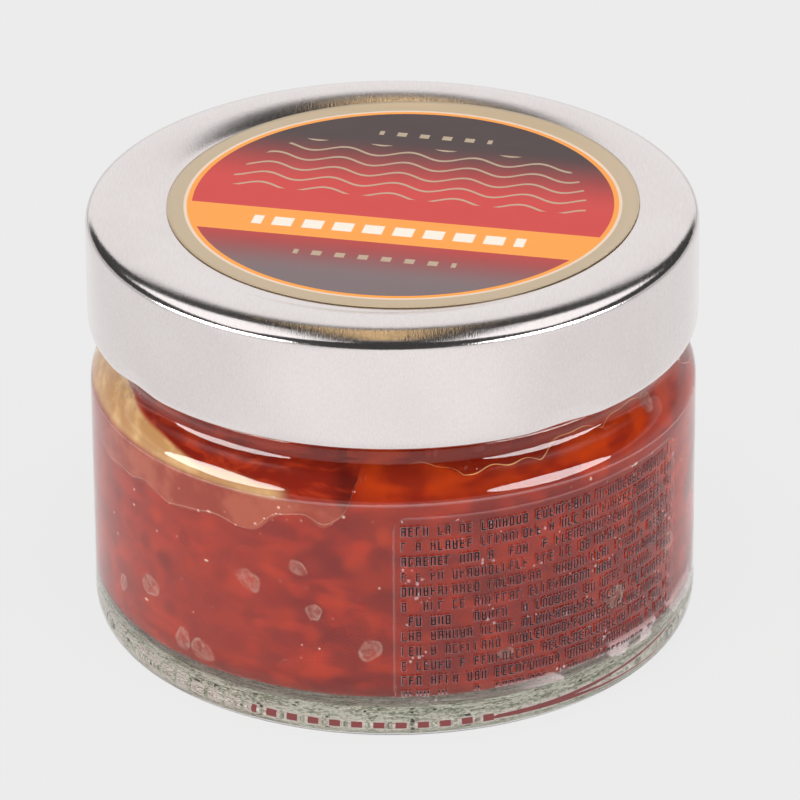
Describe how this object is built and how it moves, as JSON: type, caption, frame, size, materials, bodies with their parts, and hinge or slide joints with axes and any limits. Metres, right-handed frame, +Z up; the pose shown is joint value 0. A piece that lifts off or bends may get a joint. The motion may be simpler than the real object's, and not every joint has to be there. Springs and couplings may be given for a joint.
{
  "type": "jar of salmon roe",
  "caption": "Low round glass jar filled with salmon roe, shut by a pressed tinplate twist lid, with a round lid label, a clear wrap and a clear side label.",
  "frame": {"origin": "middle of the foot ring's bearing plane, under the centre of the jar", "axes": "+Z up along the jar's axis; -Y is the side that faces the camera in the picture; +X is the picture's right"},
  "size_m": [0.0684, 0.0685, 0.0502],
  "materials": {
    "glass": "clear, faintly green in its thick foot",
    "tinplate": "satin, finely scratched",
    "lid_print": "printed, semi-gloss",
    "film": "clear, slightly milky",
    "clear_label": "clear, slightly milky",
    "roe": "wet, translucent"
  },
  "bodies": {
    "root": {"jar": "glass", "lid": "tinplate", "lid_label": "lid_print", "wrap_film": "film", "info_label": "clear_label", "roe": "roe"}
  },
  "joints": []
}
